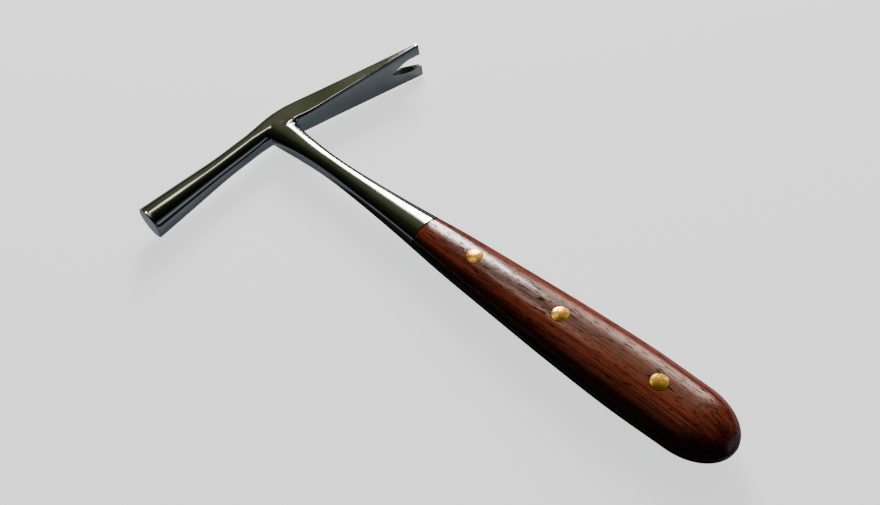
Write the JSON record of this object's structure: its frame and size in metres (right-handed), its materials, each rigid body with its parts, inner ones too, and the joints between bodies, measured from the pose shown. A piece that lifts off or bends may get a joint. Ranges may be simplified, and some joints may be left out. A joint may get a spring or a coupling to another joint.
{
  "type": "upholsterer's tack hammer",
  "caption": "Light forged steel hammer with a round striking face, a forked tack claw and a full tang between rosewood scales held by brass rivets.",
  "frame": {"origin": "centre of the bounding box in X and Y, at the height of the surface that the hammer lies on", "axes": "+X along the handle from the head to the butt, +Y from the striking face's side to the claw's side, +Z square to the plane of the hammer, up"},
  "size_m": [0.2554, 0.1506, 0.02],
  "materials": {
    "polished_steel": "polished forged steel",
    "rosewood": "oiled rosewood, satin gloss",
    "brass": "satin brass"
  },
  "bodies": {
    "root": {"hammer_forging": "polished_steel", "upper_scale": "rosewood", "lower_scale": "rosewood", "front_rivet_post": "brass", "front_rivet_socket": "brass", "middle_rivet_post": "brass", "middle_rivet_socket": "brass", "rear_rivet_post": "brass", "rear_rivet_socket": "brass"}
  },
  "joints": []
}
